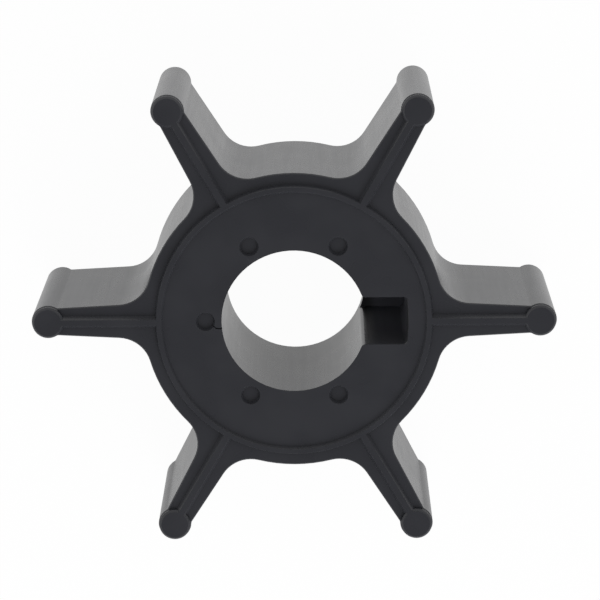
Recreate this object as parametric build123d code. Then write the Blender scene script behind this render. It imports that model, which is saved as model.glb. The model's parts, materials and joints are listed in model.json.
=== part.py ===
from build123d import *
import os
from math import hypot, radians, tan

os.makedirs("parts", exist_ok=True)

# Rubber pump impeller, moulded in one piece. All sizes in millimetres.
# It lies on its back face: +Z is the bore axis, towards the front face with the round marks,
# and +X points at the keyway.

# Hub, bore and the width between the two faces without their raised lips
hub_diameter = 29.1
bore_diameter = 14.0
body_width = 15.9

# Keyway, a parallel pocket beside the bore, open at the front and closed at the back, with a slightly
# bowed outer wall and rounded edges where it meets the bore
keyway_width = 4.7
keyway_depth = 4.05
keyway_length = 14.6
keyway_crown = 0.15
keyway_corner_radius = 0.4
keyway_mouth_radius = 0.4

# Vanes, thinner towards the neck, where they meet the bulb
vane_count = 6
vane_root_station = 16.0
vane_root_thickness = 3.4
vane_neck_station = 22.3
vane_neck_thickness = 2.75
vane_root_fillet = 3.2
vane_neck_fillet = 0.4

# Bulb along the outer edge of each vane
bulb_diameter = 3.2
bulb_circle_diameter = 47.5

# Raised sealing lips, the same on both faces: a ring, a rib down each vane and a button on each bulb.
# Widths and diameters are at the foot, and the ring and ribs narrow upwards by their draft.
lip_height = 0.5
ring_diameter = 26.9
ring_draft = 20.0
ring_crown_width = 0.42
rib_width = 1.15
rib_draft = 30.0
button_diameter = 3.05

# Inner face, from the bore to the ring, a little above the vanes' faces
inner_face_step = 0.15
ring_inner_slope = 0.18

# Shallow round marks with sloped walls in the front face, in line with the vanes, apart from the one at
# the keyway. The diameter is at the mouth.
mark_circle_diameter = 17.1
mark_diameter = 1.9
mark_depth = 0.45
mark_draft = 25.0

# Broken edges
body_edge = 0.12
button_edge = 0.22

# Levels above the surface that it lies on
back_face_z = lip_height
front_face_z = back_face_z + body_width
inner_face_z = front_face_z + inner_face_step
overall_width = front_face_z + lip_height
vane_pitch = 360 / vane_count

# The ring's crown, between its drafted outer wall and the slope down to the inner face
crown_outer_radius = ring_diameter / 2 - lip_height * tan(radians(ring_draft))
crown_inner_radius = crown_outer_radius - ring_crown_width


def radius_of(vertex):
    return hypot(vertex.X, vertex.Y)


def vane_half_thickness(station):
    """Half the vane's thickness at a distance from the bore axis."""
    taper = (vane_neck_thickness - vane_root_thickness) / (vane_neck_station - vane_root_station)
    return (vane_root_thickness + taper * (station - vane_root_station)) / 2


def vane_corners():
    """Corners of the straight-sided vane, from inside the hub wall to the middle of the bulb."""
    inner = (bore_diameter + hub_diameter) / 4
    outer = bulb_circle_diameter / 2
    return [
        (inner, -vane_half_thickness(inner)),
        (outer, -vane_half_thickness(outer)),
        (outer, vane_half_thickness(outer)),
        (inner, vane_half_thickness(inner)),
    ]


def make_body():
    """Hub, vanes and bulbs over the body width, with root and neck fillets and broken rims."""
    with BuildSketch() as plan:
        Circle(hub_diameter / 2)
        with PolarLocations(0, vane_count):
            Polygon(*vane_corners(), align=None)
        with PolarLocations(bulb_circle_diameter / 2, vane_count):
            Circle(bulb_diameter / 2)
        root_reach = hub_diameter / 2 + body_edge
        tip_reach = bulb_circle_diameter / 2 + bulb_diameter / 2 - body_edge
        necks = plan.vertices().filter_by(lambda v: root_reach < radius_of(v) < tip_reach)
        fillet(necks, vane_neck_fillet)
        roots = plan.vertices().filter_by(lambda v: radius_of(v) < root_reach)
        fillet(roots, vane_root_fillet)
    body = Pos(0, 0, back_face_z) * extrude(plan.sketch, body_width)
    rims = body.edges().group_by(Axis.Z)
    return chamfer(rims[0] + rims[-1], body_edge)


def make_ring():
    """Raised ring with the inner face inside it, standing on z = 0."""
    standing = (Align.CENTER, Align.CENTER, Align.MIN)
    ring = Cone(ring_diameter / 2, crown_outer_radius, lip_height, align=standing)
    dish_depth = lip_height - inner_face_step
    dish = Cone(crown_inner_radius - ring_inner_slope, crown_inner_radius, dish_depth, align=standing)
    return ring - Pos(0, 0, inner_face_step) * dish


def make_ribs():
    """Drafted rib down the middle of each vane, from the ring to the button, standing on z = 0."""
    rib_end = bulb_circle_diameter / 2
    rib_length = rib_end - crown_inner_radius
    with BuildSketch() as plan:
        with PolarLocations(rib_end - rib_length / 2, vane_count):
            Rectangle(rib_length, rib_width)
    return extrude(plan.sketch, lip_height, taper=rib_draft)


def make_buttons():
    """Round button on the end of each bulb, standing on z = 0."""
    button = Cylinder(button_diameter / 2, lip_height, align=(Align.CENTER, Align.CENTER, Align.MIN))
    button = chamfer(button.edges().group_by(Axis.Z)[-1], button_edge)
    return PolarLocations(bulb_circle_diameter / 2, vane_count) * button


def make_bore():
    """Cutter for the bore, through the whole impeller."""
    return Cylinder(bore_diameter / 2, overall_width, align=(Align.CENTER, Align.CENTER, Align.MIN))


def make_keyway():
    """Cutter for the keyway with the bore beside it, from the pocket's floor to the front."""
    wall_middle = bore_diameter / 2 + keyway_depth
    wall_corner = wall_middle - keyway_crown
    floor_z = inner_face_z - keyway_length
    with BuildSketch() as plan:
        with BuildLine():
            Polyline(
                (wall_corner, -keyway_width / 2), (0, -keyway_width / 2),
                (0, keyway_width / 2), (wall_corner, keyway_width / 2),
            )
            ThreePointArc(
                (wall_corner, keyway_width / 2), (wall_middle, 0), (wall_corner, -keyway_width / 2)
            )
        make_face()
        fillet(plan.vertices().group_by(Axis.X)[-1], keyway_corner_radius)
        Circle(bore_diameter / 2)
        mouth_reach = bore_diameter / 2 + keyway_mouth_radius / 2
        mouth = plan.vertices().filter_by(lambda v: v.X > 0 and radius_of(v) < mouth_reach)
        fillet(mouth, keyway_mouth_radius)
    return Pos(0, 0, floor_z) * extrude(plan.sketch, overall_width - floor_z)


def make_marks():
    """Cutters for the round marks, one at every vane but the one over the keyway."""
    mouth_radius = mark_diameter / 2
    floor_radius = mouth_radius - mark_depth * tan(radians(mark_draft))
    pad = Cone(floor_radius, mouth_radius, mark_depth, align=(Align.CENTER, Align.CENTER, Align.MIN))
    return [
        Rot(0, 0, vane_pitch * turn) * Pos(mark_circle_diameter / 2, 0, inner_face_z - mark_depth) * pad
        for turn in range(1, vane_count)
    ]


def make_impeller():
    lips = make_ring() + make_ribs() + make_buttons()
    front_lips = Pos(0, 0, front_face_z) * lips
    back_lips = Pos(0, 0, back_face_z) * mirror(lips, Plane.XY)
    return make_body() + front_lips + back_lips - make_bore() - make_keyway() - make_marks()


export_step(make_impeller(), "parts/impeller.step")
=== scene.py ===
import json
import math

import bmesh
import bpy
from bpy.props import FloatProperty, FloatVectorProperty, PointerProperty
from mathutils import Euler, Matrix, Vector

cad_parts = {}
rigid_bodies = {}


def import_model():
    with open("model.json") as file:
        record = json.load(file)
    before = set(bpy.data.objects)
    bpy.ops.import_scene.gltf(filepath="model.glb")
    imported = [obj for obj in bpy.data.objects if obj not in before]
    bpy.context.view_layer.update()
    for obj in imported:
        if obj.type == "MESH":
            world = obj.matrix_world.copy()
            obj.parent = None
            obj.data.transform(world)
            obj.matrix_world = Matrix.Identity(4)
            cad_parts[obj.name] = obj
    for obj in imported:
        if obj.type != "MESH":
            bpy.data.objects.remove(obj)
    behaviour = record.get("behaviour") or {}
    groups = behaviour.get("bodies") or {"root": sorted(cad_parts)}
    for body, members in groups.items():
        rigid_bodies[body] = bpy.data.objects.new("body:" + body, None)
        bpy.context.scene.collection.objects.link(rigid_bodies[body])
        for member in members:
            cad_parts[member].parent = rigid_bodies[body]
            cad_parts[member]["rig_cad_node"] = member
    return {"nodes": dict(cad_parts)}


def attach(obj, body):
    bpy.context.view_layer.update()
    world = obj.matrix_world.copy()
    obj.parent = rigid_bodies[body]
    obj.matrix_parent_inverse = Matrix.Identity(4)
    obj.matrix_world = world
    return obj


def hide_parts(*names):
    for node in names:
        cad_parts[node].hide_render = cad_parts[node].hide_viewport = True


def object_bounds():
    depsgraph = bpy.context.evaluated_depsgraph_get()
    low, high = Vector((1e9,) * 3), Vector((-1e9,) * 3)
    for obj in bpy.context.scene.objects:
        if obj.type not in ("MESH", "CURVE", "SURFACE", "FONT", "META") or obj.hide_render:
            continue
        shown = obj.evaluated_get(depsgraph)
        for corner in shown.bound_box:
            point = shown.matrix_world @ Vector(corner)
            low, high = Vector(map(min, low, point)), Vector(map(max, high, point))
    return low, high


bl_info = {
    "name": "Rubber pump impeller",
    "version": (1, 0, 0),
    "blender": (4, 5, 0),
    "location": "View3D > Sidebar > Impeller",
    "description": "Dresses the pump impeller as moulded rubber and lights it in a plain studio",
    "category": "Object",
}

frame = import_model()
cad_low, cad_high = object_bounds()

MM = 0.001
CAD_NODE = "impeller"

# The inner face, from the bore to the ring, lies a little below the tops of the lips
INNER_FACE_DROP = 0.35 * MM
INNER_FACE_LEVEL = cad_high.z - INNER_FACE_DROP

# The slit's course over the inner face, from the mark opposite the keyway to the bore, in millimetres
SLIT_COURSE = ((-7.82, -0.46), (-7.63, -0.66), (-7.24, -0.715), (-6.76, -0.67))
# The slit's cutter grows from its end towards the bore, the face whose normal leans this far to +X
FACING_BORE = 0.9

# What joins the loose triangles, and which areas are flat, which edges are crisp and which are smooth
WELD_DISTANCE = 0.001 * MM
FLAT_ANGLE = math.radians(0.05)
CRISP_ANGLE = math.radians(25)
SMOOTH_ANGLE = math.radians(40)
# The edges' rounding, and how much the large faces rule the shading of the small ones beside them
ROUNDING_SEGMENTS = 2
LARGE_FACE_WEIGHT = 100

# Where the keyway's pocket begins and ends, for its rougher finish and its painted light: past the wall
# of the bore, in the rubber behind the outer wall and beside the side walls, under the pocket's mouth,
# and in the web that closes it
POCKET_PAST_BORE = (7.0 * MM, 8.5 * MM)
POCKET_OUTER_WALL = (11.3 * MM, 11.5 * MM)
POCKET_SIDE_WALLS = (2.6 * MM, 2.8 * MM)
POCKET_MOUTH = (INNER_FACE_LEVEL - 0.3 * MM, INNER_FACE_LEVEL - 0.05 * MM)
POCKET_WEB = (1.7 * MM, 1.9 * MM)
# The levels between which the painted light in it fades out, from the full amount to none: a lighter
# colour that stands in for the light reaching deep into the pocket
POCKET_LIGHT_FADE = (INNER_FACE_LEVEL - 12 * MM, INNER_FACE_LEVEL)

# How far a face's normal leans to +Z or -Z: a wall up to the first value, a level face from the second
LEVEL_LEAN = (0.3, 0.8)

# The noise's middle value, the stretch of it that the mottling uses, and its detail
NOISE_MIDDLE = 0.5
MOTTLE_STRETCH = (0.3, 0.7)
SOFT_DETAIL = 2.0
FINE_DETAIL = 3.0

# The room in reflections: from its dim front to its bright back, and from low down to overhead
ROOM_FRONT_TO_BACK = (-0.7, 0.3)
ROOM_LOW_TO_OVERHEAD = (0.2, 0.85)
WHITE = (1.0, 1.0, 1.0, 1.0)

# The camera's sensor, in millimetres, and the nearest and farthest that it sees, in metres
SENSOR_WIDTH = 36.0
NEAREST = 0.01
FARTHEST = 10.0


class Wire:
    """A node's output for use in a Python expression. Each operator adds the node that works it out."""

    def __init__(self, graph, socket):
        self.graph = graph
        self.socket = socket

    def math(self, operation, *values):
        return self.graph.add("ShaderNodeMath", {"operation": operation}, dict(enumerate(values)))

    def __add__(self, other):
        return self.math("ADD", self, other)

    def __mul__(self, other):
        return self.math("MULTIPLY", self, other)

    def __sub__(self, other):
        return self.math("SUBTRACT", self, other)

    def __rsub__(self, other):
        return self.math("SUBTRACT", other, self)

    def __abs__(self):
        return self.math("ABSOLUTE", self)

    __radd__ = __add__
    __rmul__ = __mul__

    def along(self, axis):
        """A vector's share along X, Y or Z."""
        return self.graph.add("ShaderNodeSeparateXYZ", {}, {"Vector": self}, axis)

    def smooth_step(self, low, high):
        """Rises smoothly from 0 at the low value to 1 at the high one."""
        return self.graph.add(
            "ShaderNodeMapRange", {"interpolation_type": "SMOOTHSTEP"},
            {"Value": self, "From Min": low, "From Max": high},
        )

    def blend(self, first, second):
        """Mixes two colours, with this value as the second one's share."""
        return self.graph.add(
            "ShaderNodeMix", {"data_type": "RGBA"}, {"Factor": self, "A": first, "B": second}
        )


class Graph:
    """The node tree of a material or world, emptied."""

    def __init__(self, owner):
        owner.use_nodes = True
        self.tree = owner.node_tree
        self.tree.nodes.clear()

    def add(self, kind, settings=None, sockets=None, output=None):
        """Adds a node with its settings, fills its sockets with values or links, and gives one output."""
        node = self.tree.nodes.new(kind)
        for name, value in (settings or {}).items():
            setattr(node, name, value)
        for key, value in (sockets or {}).items():
            socket = node.inputs[key] if isinstance(key, int) else self.find(node.inputs, key)
            if isinstance(value, Wire):
                self.tree.links.new(value.socket, socket)
            else:
                socket.default_value = value
        return Wire(self, self.find(node.outputs, output)) if node.outputs else None

    def find(self, sockets, name):
        """The socket in use that has this name, or the first one in use."""
        return next(s for s in sockets if s.enabled and name in (None, s.name))


def opaque(colour):
    return (*colour, 1.0)


def grey(level):
    return (level, level, level, 1.0)


def object_place(graph, scale=(1.0, 1.0, 1.0)):
    """The object coordinates, stretched by a scale on each axis."""
    place = graph.add("ShaderNodeTexCoord", output="Object")
    return graph.add("ShaderNodeMapping", {}, {"Vector": place, "Scale": scale})


def noise(graph, place, size, detail):
    """Noise from 0 to 1 with features of a real size, in metres."""
    return graph.add("ShaderNodeTexNoise", {}, {"Vector": place, "Scale": 1.0 / size, "Detail": detail})


def pocket_masks(graph):
    """Two masks of the keyway's pocket: the whole of it, and one that grows stronger with the depth."""
    place = graph.add("ShaderNodeTexCoord", output="Object")
    out = place.along("X")
    up = place.along("Z")
    between_sides = 1.0 - abs(place.along("Y")).smooth_step(*POCKET_SIDE_WALLS)
    in_rubber = out.smooth_step(*POCKET_PAST_BORE) * (1.0 - out.smooth_step(*POCKET_OUTER_WALL))
    below_mouth = 1.0 - up.smooth_step(*POCKET_MOUTH)
    above_web = up.smooth_step(*POCKET_WEB)
    pocket = between_sides * in_rubber * below_mouth * above_web
    # Painted light: a lighter colour, stronger the deeper in the pocket
    depth = 1.0 - up.smooth_step(*POCKET_LIGHT_FADE)
    return pocket, pocket * depth


def rubber_material(settings):
    """Black moulded rubber: semi-gloss, faintly mottled, with fine grain and drag lines on its walls."""
    material = bpy.data.materials.new("rubber_black")
    graph = Graph(material)
    place = object_place(graph)
    drawn_out = object_place(graph, (1.0, 1.0, settings.drag_stretch))
    normal = graph.add("ShaderNodeTexCoord", output="Normal")
    wall = 1.0 - abs(normal.along("Z")).smooth_step(*LEVEL_LEAN)
    pocket, deep = pocket_masks(graph)

    mottle = noise(graph, place, settings.mottle_size, SOFT_DETAIL)
    grain = noise(graph, place, settings.grain_size, FINE_DETAIL)
    drag = noise(graph, drawn_out, settings.drag_spacing, FINE_DETAIL)

    bloom = mottle.smooth_step(*MOTTLE_STRETCH)
    clean = bloom.blend(opaque(settings.rubber_colour), opaque(settings.bloom_colour))
    # Painted light deep in the keyway: a lighter colour stands in for light reaching into the pocket,
    # full on its walls and a share of it on its floor
    painted_light = deep * (settings.floor_light_share + (1.0 - settings.floor_light_share) * wall)
    colour = painted_light.blend(clean, opaque(settings.pocket_light_colour))

    cloud = settings.roughness_spread * (mottle - NOISE_MIDDLE)
    streak = settings.drag_roughness * wall * (drag - NOISE_MIDDLE)
    roughness = settings.roughness + cloud + streak + settings.pocket_roughness * pocket

    relief = settings.grain_depth * grain + settings.drag_depth * wall * drag
    bump = graph.add("ShaderNodeBump", {}, {"Strength": 1.0, "Distance": 1.0, "Height": relief})
    shader = graph.add(
        "ShaderNodeBsdfPrincipled", {},
        {"Base Color": colour, "Roughness": roughness, "IOR": settings.ior, "Normal": bump},
    )
    graph.add("ShaderNodeOutputMaterial", {}, {"Surface": shader})
    return material


def floor_material(settings):
    """White floor. The camera sees it nearly lit by itself, so it stays white but keeps a faint shadow.

    Reflections see it dimmer in front of the part, where the light from behind has fallen off.
    """
    material = bpy.data.materials.new("floor_white")
    graph = Graph(material)
    seen = graph.add("ShaderNodeLightPath", output="Is Camera Ray")
    mirrored = graph.add("ShaderNodeLightPath", output="Is Glossy Ray")
    passed = graph.add("ShaderNodeLightPath", output="Is Transmission Ray")
    depth = graph.add("ShaderNodeTexCoord", output="Object").along("Y")
    reach = depth.smooth_step(-settings.front_reach, 0.0)
    reflected = reach.blend(grey(settings.front_level), WHITE)
    white = mirrored.blend(WHITE, reflected)
    glow = graph.add("ShaderNodeEmission", {}, {"Color": white, "Strength": 1.0})
    lit = graph.add("ShaderNodeBsdfDiffuse", {}, {"Color": opaque(settings.floor_colour)})
    share = settings.floor_glow * seen + settings.mirror_glow * mirrored + passed
    shader = graph.add("ShaderNodeMixShader", {}, {0: share, 1: lit, 2: glow})
    graph.add("ShaderNodeOutputMaterial", {}, {"Surface": shader})
    return material


class ImpellerRubber(bpy.types.PropertyGroup):
    """The rounding and slit of the moulding, and the finish of its rubber."""

    edge_radius: FloatProperty(
        name="Edge rounding", description="Width of the rounding on the crisp outer edges",
        default=0.02 * MM, unit="LENGTH",
    )
    slit_width: FloatProperty(
        name="Slit width", description="Width of the fine slit from the left mark to the bore",
        default=0.13 * MM, unit="LENGTH",
    )
    slit_depth: FloatProperty(
        name="Slit depth", description="Depth of the slit", default=0.3 * MM, unit="LENGTH",
    )
    rubber_colour: FloatVectorProperty(
        name="Rubber", description="The rubber's own colour",
        subtype="COLOR", size=3, default=(0.0298, 0.0306, 0.0362),
    )
    bloom_colour: FloatVectorProperty(
        name="Bloom", description="The colour where the surface is slightly dusty",
        subtype="COLOR", size=3, default=(0.0338, 0.0346, 0.0405),
    )
    # Painted light: a lighter colour deep in the keyway that stands in for light reaching into the pocket
    pocket_light_colour: FloatVectorProperty(
        name="Dust", description="The colour of the rubber deep in the keyway, where it is dusty",
        subtype="COLOR", size=3, default=(0.150, 0.153, 0.180),
    )
    # The share of that painted light on the pocket's floor
    floor_light_share: FloatProperty(
        name="Dust on its floor", description="Share of that dust which lies on the pocket's floor",
        default=0.6,
    )
    roughness: FloatProperty(
        name="Roughness", description="Mean roughness", default=0.28, min=0.0, max=1.0,
    )
    roughness_spread: FloatProperty(
        name="Roughness spread", description="How far the mottling moves the roughness", default=0.06,
    )
    drag_roughness: FloatProperty(
        name="Drag roughness", description="How far the drag lines move the roughness", default=0.06,
    )
    pocket_roughness: FloatProperty(
        name="Pocket roughness", description="How much rougher the keyway's walls are", default=0.65,
    )
    ior: FloatProperty(
        name="Index", description="The rubber's index of refraction", default=1.45, min=1.0,
    )
    mottle_size: FloatProperty(
        name="Mottling", description="Size of the cloudy patches", default=4 * MM, unit="LENGTH",
    )
    grain_size: FloatProperty(
        name="Grain", description="Size of the fine grain", default=0.25 * MM, unit="LENGTH",
    )
    grain_depth: FloatProperty(
        name="Grain depth", description="Height of the grain", default=0.0015 * MM, unit="LENGTH",
    )
    drag_spacing: FloatProperty(
        name="Drag lines", description="Spacing of the lines down the walls",
        default=0.5 * MM, unit="LENGTH",
    )
    drag_stretch: FloatProperty(
        name="Drag stretch", description="Scale along the bore's axis. Less makes longer lines",
        default=0.04,
    )
    drag_depth: FloatProperty(
        name="Drag depth", description="Height of the drag lines", default=0.0018 * MM, unit="LENGTH",
    )


class ImpellerStudio(bpy.types.PropertyGroup):
    """The camera, the lamp, the room and the floor."""

    lens: FloatProperty(
        name="Lens", description="Focal length on a 36 mm sensor, in millimetres", default=166.1,
    )
    distance: FloatProperty(
        name="Distance", description="From the camera to the front face",
        default=266.6 * MM, unit="LENGTH",
    )
    aim: FloatVectorProperty(
        name="Aim", description="Where the camera looks, from the middle of the vanes' front faces",
        subtype="TRANSLATION", unit="LENGTH", size=2, default=(0.585 * MM, 2.076 * MM),
    )
    lip_height: FloatProperty(
        name="Lip height", description="From the vanes' front faces to the top of the lips",
        default=0.5 * MM, unit="LENGTH",
    )
    turn: FloatVectorProperty(
        name="Turn", description="The camera's turn about X, Y and Z",
        subtype="EULER", default=(math.radians(-14.469), math.radians(0.352), math.radians(-0.408)),
    )
    floor_size: FloatProperty(
        name="Floor", description="Width of the floor", default=3.0, unit="LENGTH",
    )
    floor_colour: FloatVectorProperty(
        name="Floor colour", description="The floor's colour",
        subtype="COLOR", size=3, default=(0.9, 0.9, 0.9),
    )
    floor_glow: FloatProperty(
        name="Floor glow", description="How much of the floor's white doesn't depend on the lamp",
        default=0.97,
    )
    mirror_glow: FloatProperty(
        name="Mirror glow", description="The same share of the floor's white in the rubber's reflections",
        default=0.85,
    )
    front_level: FloatProperty(
        name="Front level", description="Brightness in front of the part, in reflections", default=0.5,
    )
    front_reach: FloatProperty(
        name="Front reach", description="How far in front of the bore the floor has dimmed to that level",
        default=60 * MM, unit="LENGTH",
    )
    room_level: FloatProperty(
        name="Room level", description="Light from all round", default=0.62,
    )
    overhead_level: FloatProperty(
        name="Overhead level", description="Brightness of the room above the part, in reflections",
        default=0.12,
    )
    side_lean: FloatProperty(
        name="Side lean", description="How far the room's bright side lies left of straight behind",
        default=0.6,
    )
    key_level: FloatProperty(
        name="Key level", description="Power of the large lamp, in watts", default=1.6,
    )
    key_place: FloatVectorProperty(
        name="Key place", description="Middle of the large lamp",
        subtype="TRANSLATION", unit="LENGTH", default=(0.14, -0.38, 0.30),
    )
    key_size: FloatProperty(
        name="Key size", description="Width of the large lamp", default=0.45, unit="LENGTH",
    )


def deselect_all():
    for obj in bpy.context.selected_objects:
        obj.select_set(False)


def activate(obj):
    """Leaves this one object selected and active."""
    deselect_all()
    obj.select_set(True)
    bpy.context.view_layer.objects.active = obj


def merged_copy(cad_node, name):
    """A copy of the CAD piece with its loose triangles joined, and its flat areas as single faces."""
    piece = frame["nodes"][cad_node].copy()
    piece.data = piece.data.copy()
    piece.parent = None
    piece.name = name
    piece.data.name = name
    del piece["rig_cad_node"]
    bpy.context.scene.collection.objects.link(piece)
    activate(piece)
    bpy.ops.mesh.customdata_custom_splitnormals_clear()
    bpy.ops.object.mode_set(mode="EDIT")
    bpy.ops.mesh.select_all(action="SELECT")
    bpy.ops.mesh.remove_doubles(threshold=WELD_DISTANCE)
    bpy.ops.mesh.dissolve_limited(angle_limit=FLAT_ANGLE)
    bpy.ops.object.mode_set(mode="OBJECT")
    return piece


def apply_modifier(piece, kind, **settings):
    """Gives the active piece a modifier and applies it."""
    modifier = piece.modifiers.new(kind.lower(), kind)
    for name, value in settings.items():
        setattr(modifier, name, value)
    bpy.ops.object.modifier_apply(modifier=modifier.name)


def weigh_outer_edges(piece):
    """Marks the crisp outer edges for rounding. Inner corners, at the feet of the lips, stay sharp."""
    mesh = bmesh.new()
    mesh.from_mesh(piece.data)
    weight = mesh.edges.layers.float.new("bevel_weight_edge")
    for edge in mesh.edges:
        if edge.is_convex and edge.calc_face_angle(0.0) > CRISP_ANGLE:
            edge[weight] = 1.0
    mesh.to_mesh(piece.data)
    mesh.free()


def edit_faces(obj, wanted):
    """Opens the object in edit mode with only the faces selected that pass a test."""
    activate(obj)
    bpy.ops.object.mode_set(mode="EDIT")
    bpy.ops.mesh.select_mode(type="FACE")
    bpy.ops.mesh.select_all(action="DESELECT")
    bpy.ops.object.mode_set(mode="OBJECT")
    for polygon in obj.data.polygons:
        polygon.select = wanted(polygon)
    bpy.ops.object.mode_set(mode="EDIT")


def slit_blade(settings):
    """The cutter for the slit: a thin bar extruded along its course, from the mark to the bore."""
    course = [Vector((x, y, 0.0)) * MM for x, y in SLIT_COURSE]
    deselect_all()
    bpy.ops.mesh.primitive_cube_add(size=1.0, location=(course[0].x, course[0].y, INNER_FACE_LEVEL))
    blade = bpy.context.object
    blade.scale = (settings.slit_width, settings.slit_width, 2 * settings.slit_depth)
    bpy.ops.object.transform_apply(location=True, rotation=False, scale=True)
    edit_faces(blade, lambda polygon: polygon.normal.x > FACING_BORE)
    for start, end in zip(course, course[1:]):
        bpy.ops.mesh.extrude_region_move(TRANSFORM_OT_translate={"value": end - start})
    bpy.ops.object.mode_set(mode="OBJECT")
    return blade


class IMPELLER_OT_moulding(bpy.types.Operator):
    """Makes the moulding: hub, vanes, bulbs and lips in one piece, with rounded edges and a slit"""

    bl_idname = "impeller.moulding"
    bl_label = "Moulding"

    def execute(self, context):
        settings = context.scene.impeller_rubber
        piece = merged_copy(CAD_NODE, "moulding")
        piece.data.materials.clear()
        piece.data.materials.append(rubber_material(settings))
        self.round_edges(piece, settings)
        self.cut_slit(piece, settings)
        bpy.ops.object.shade_smooth_by_angle(angle=SMOOTH_ANGLE)
        apply_modifier(piece, "WEIGHTED_NORMAL", weight=LARGE_FACE_WEIGHT, keep_sharp=True)
        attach(piece, "root")
        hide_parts(CAD_NODE)
        return {"FINISHED"}

    def round_edges(self, piece, settings):
        weigh_outer_edges(piece)
        apply_modifier(
            piece, "BEVEL", width=settings.edge_radius, segments=ROUNDING_SEGMENTS,
            limit_method="WEIGHT", use_clamp_overlap=False,
        )

    def cut_slit(self, piece, settings):
        blade = slit_blade(settings)
        activate(piece)
        apply_modifier(piece, "BOOLEAN", operation="DIFFERENCE", solver="EXACT", object=blade)
        bpy.data.objects.remove(blade)


class IMPELLER_OT_studio(bpy.types.Operator):
    """Makes the white floor, the soft lamp, the room's light and the camera"""

    bl_idname = "impeller.studio"
    bl_label = "Studio"

    def execute(self, context):
        settings = context.scene.impeller_studio
        self.make_floor(settings)
        self.make_key_lamp(settings)
        self.make_room(context.scene, settings)
        self.make_camera(context.scene, settings)
        context.scene.view_settings.view_transform = "Standard"
        return {"FINISHED"}

    def make_floor(self, settings):
        deselect_all()
        bpy.ops.mesh.primitive_plane_add(size=settings.floor_size, location=(0, 0, cad_low.z))
        floor = bpy.context.object
        floor.name = "floor"
        floor.data.materials.append(floor_material(settings))

    def make_key_lamp(self, settings):
        """A large soft lamp to the front right, which the rubber doesn't reflect."""
        bpy.ops.object.light_add(type="AREA", location=settings.key_place)
        lamp = bpy.context.object
        lamp.name = "key"
        lamp.data.shape = "DISK"
        lamp.data.size = settings.key_size
        lamp.data.energy = settings.key_level
        lamp.visible_glossy = False
        aim = Vector((0.0, 0.0, cad_high.z))
        lamp.rotation_euler = (aim - lamp.location).to_track_quat("-Z", "Y").to_euler()

    def make_room(self, scene, settings):
        """White for the camera and an even level for the lighting.

        Reflections see it white low down behind the part and to its left, dimmer low down in front of it,
        and dimmest overhead.
        """
        world = bpy.data.worlds.new("room")
        scene.world = world
        graph = Graph(world)
        direction = graph.add("ShaderNodeTexCoord", output="Generated")
        seen = graph.add("ShaderNodeLightPath", output="Is Camera Ray")
        mirrored = graph.add("ShaderNodeLightPath", output="Is Glossy Ray")
        behind = direction.along("Y") - settings.side_lean * direction.along("X")
        low_down = behind.smooth_step(*ROOM_FRONT_TO_BACK).blend(grey(settings.front_level), WHITE)
        overhead = direction.along("Z").smooth_step(*ROOM_LOW_TO_OVERHEAD)
        reflected = overhead.blend(low_down, grey(settings.overhead_level))
        unseen = mirrored.blend(grey(settings.room_level), reflected)
        colour = seen.blend(unseen, WHITE)
        back = graph.add("ShaderNodeBackground", {}, {"Color": colour, "Strength": 1.0})
        graph.add("ShaderNodeOutputWorld", {}, {"Surface": back})

    def make_camera(self, scene, settings):
        """A camera with a long lens that looks nearly straight down on the front face."""
        turn = Euler(settings.turn).to_matrix()
        aim = Vector((*settings.aim, cad_high.z - settings.lip_height))
        place = aim + turn @ Vector((0.0, 0.0, settings.distance))
        bpy.ops.object.camera_add(location=place, rotation=settings.turn)
        camera = bpy.context.object
        camera.data.lens = settings.lens
        camera.data.sensor_width = SENSOR_WIDTH
        camera.data.clip_start = NEAREST
        camera.data.clip_end = FARTHEST
        scene.camera = camera


class IMPELLER_PT_sidebar(bpy.types.Panel):
    """Lists the impeller's steps and their settings."""

    bl_label = "Impeller"
    bl_space_type = "VIEW_3D"
    bl_region_type = "UI"
    bl_category = "Impeller"

    def draw(self, context):
        layout = self.layout
        for operator, settings in STEPS:
            box = layout.box()
            box.operator(operator)
            group = getattr(context.scene, settings)
            for name in group.bl_rna.properties.keys():
                if name not in ("rna_type", "name"):
                    box.prop(group, name)


STEPS = (
    ("impeller.moulding", "impeller_rubber"),
    ("impeller.studio", "impeller_studio"),
)
CLASSES = (
    ImpellerRubber, ImpellerStudio, IMPELLER_OT_moulding, IMPELLER_OT_studio, IMPELLER_PT_sidebar,
)


def register():
    for cls in CLASSES:
        bpy.utils.register_class(cls)
    bpy.types.Scene.impeller_rubber = PointerProperty(type=ImpellerRubber)
    bpy.types.Scene.impeller_studio = PointerProperty(type=ImpellerStudio)


def unregister():
    del bpy.types.Scene.impeller_studio
    del bpy.types.Scene.impeller_rubber
    for cls in reversed(CLASSES):
        bpy.utils.unregister_class(cls)


def main():
    register()
    bpy.ops.impeller.moulding()
    bpy.ops.impeller.studio()


if __name__ == "__main__":
    main()
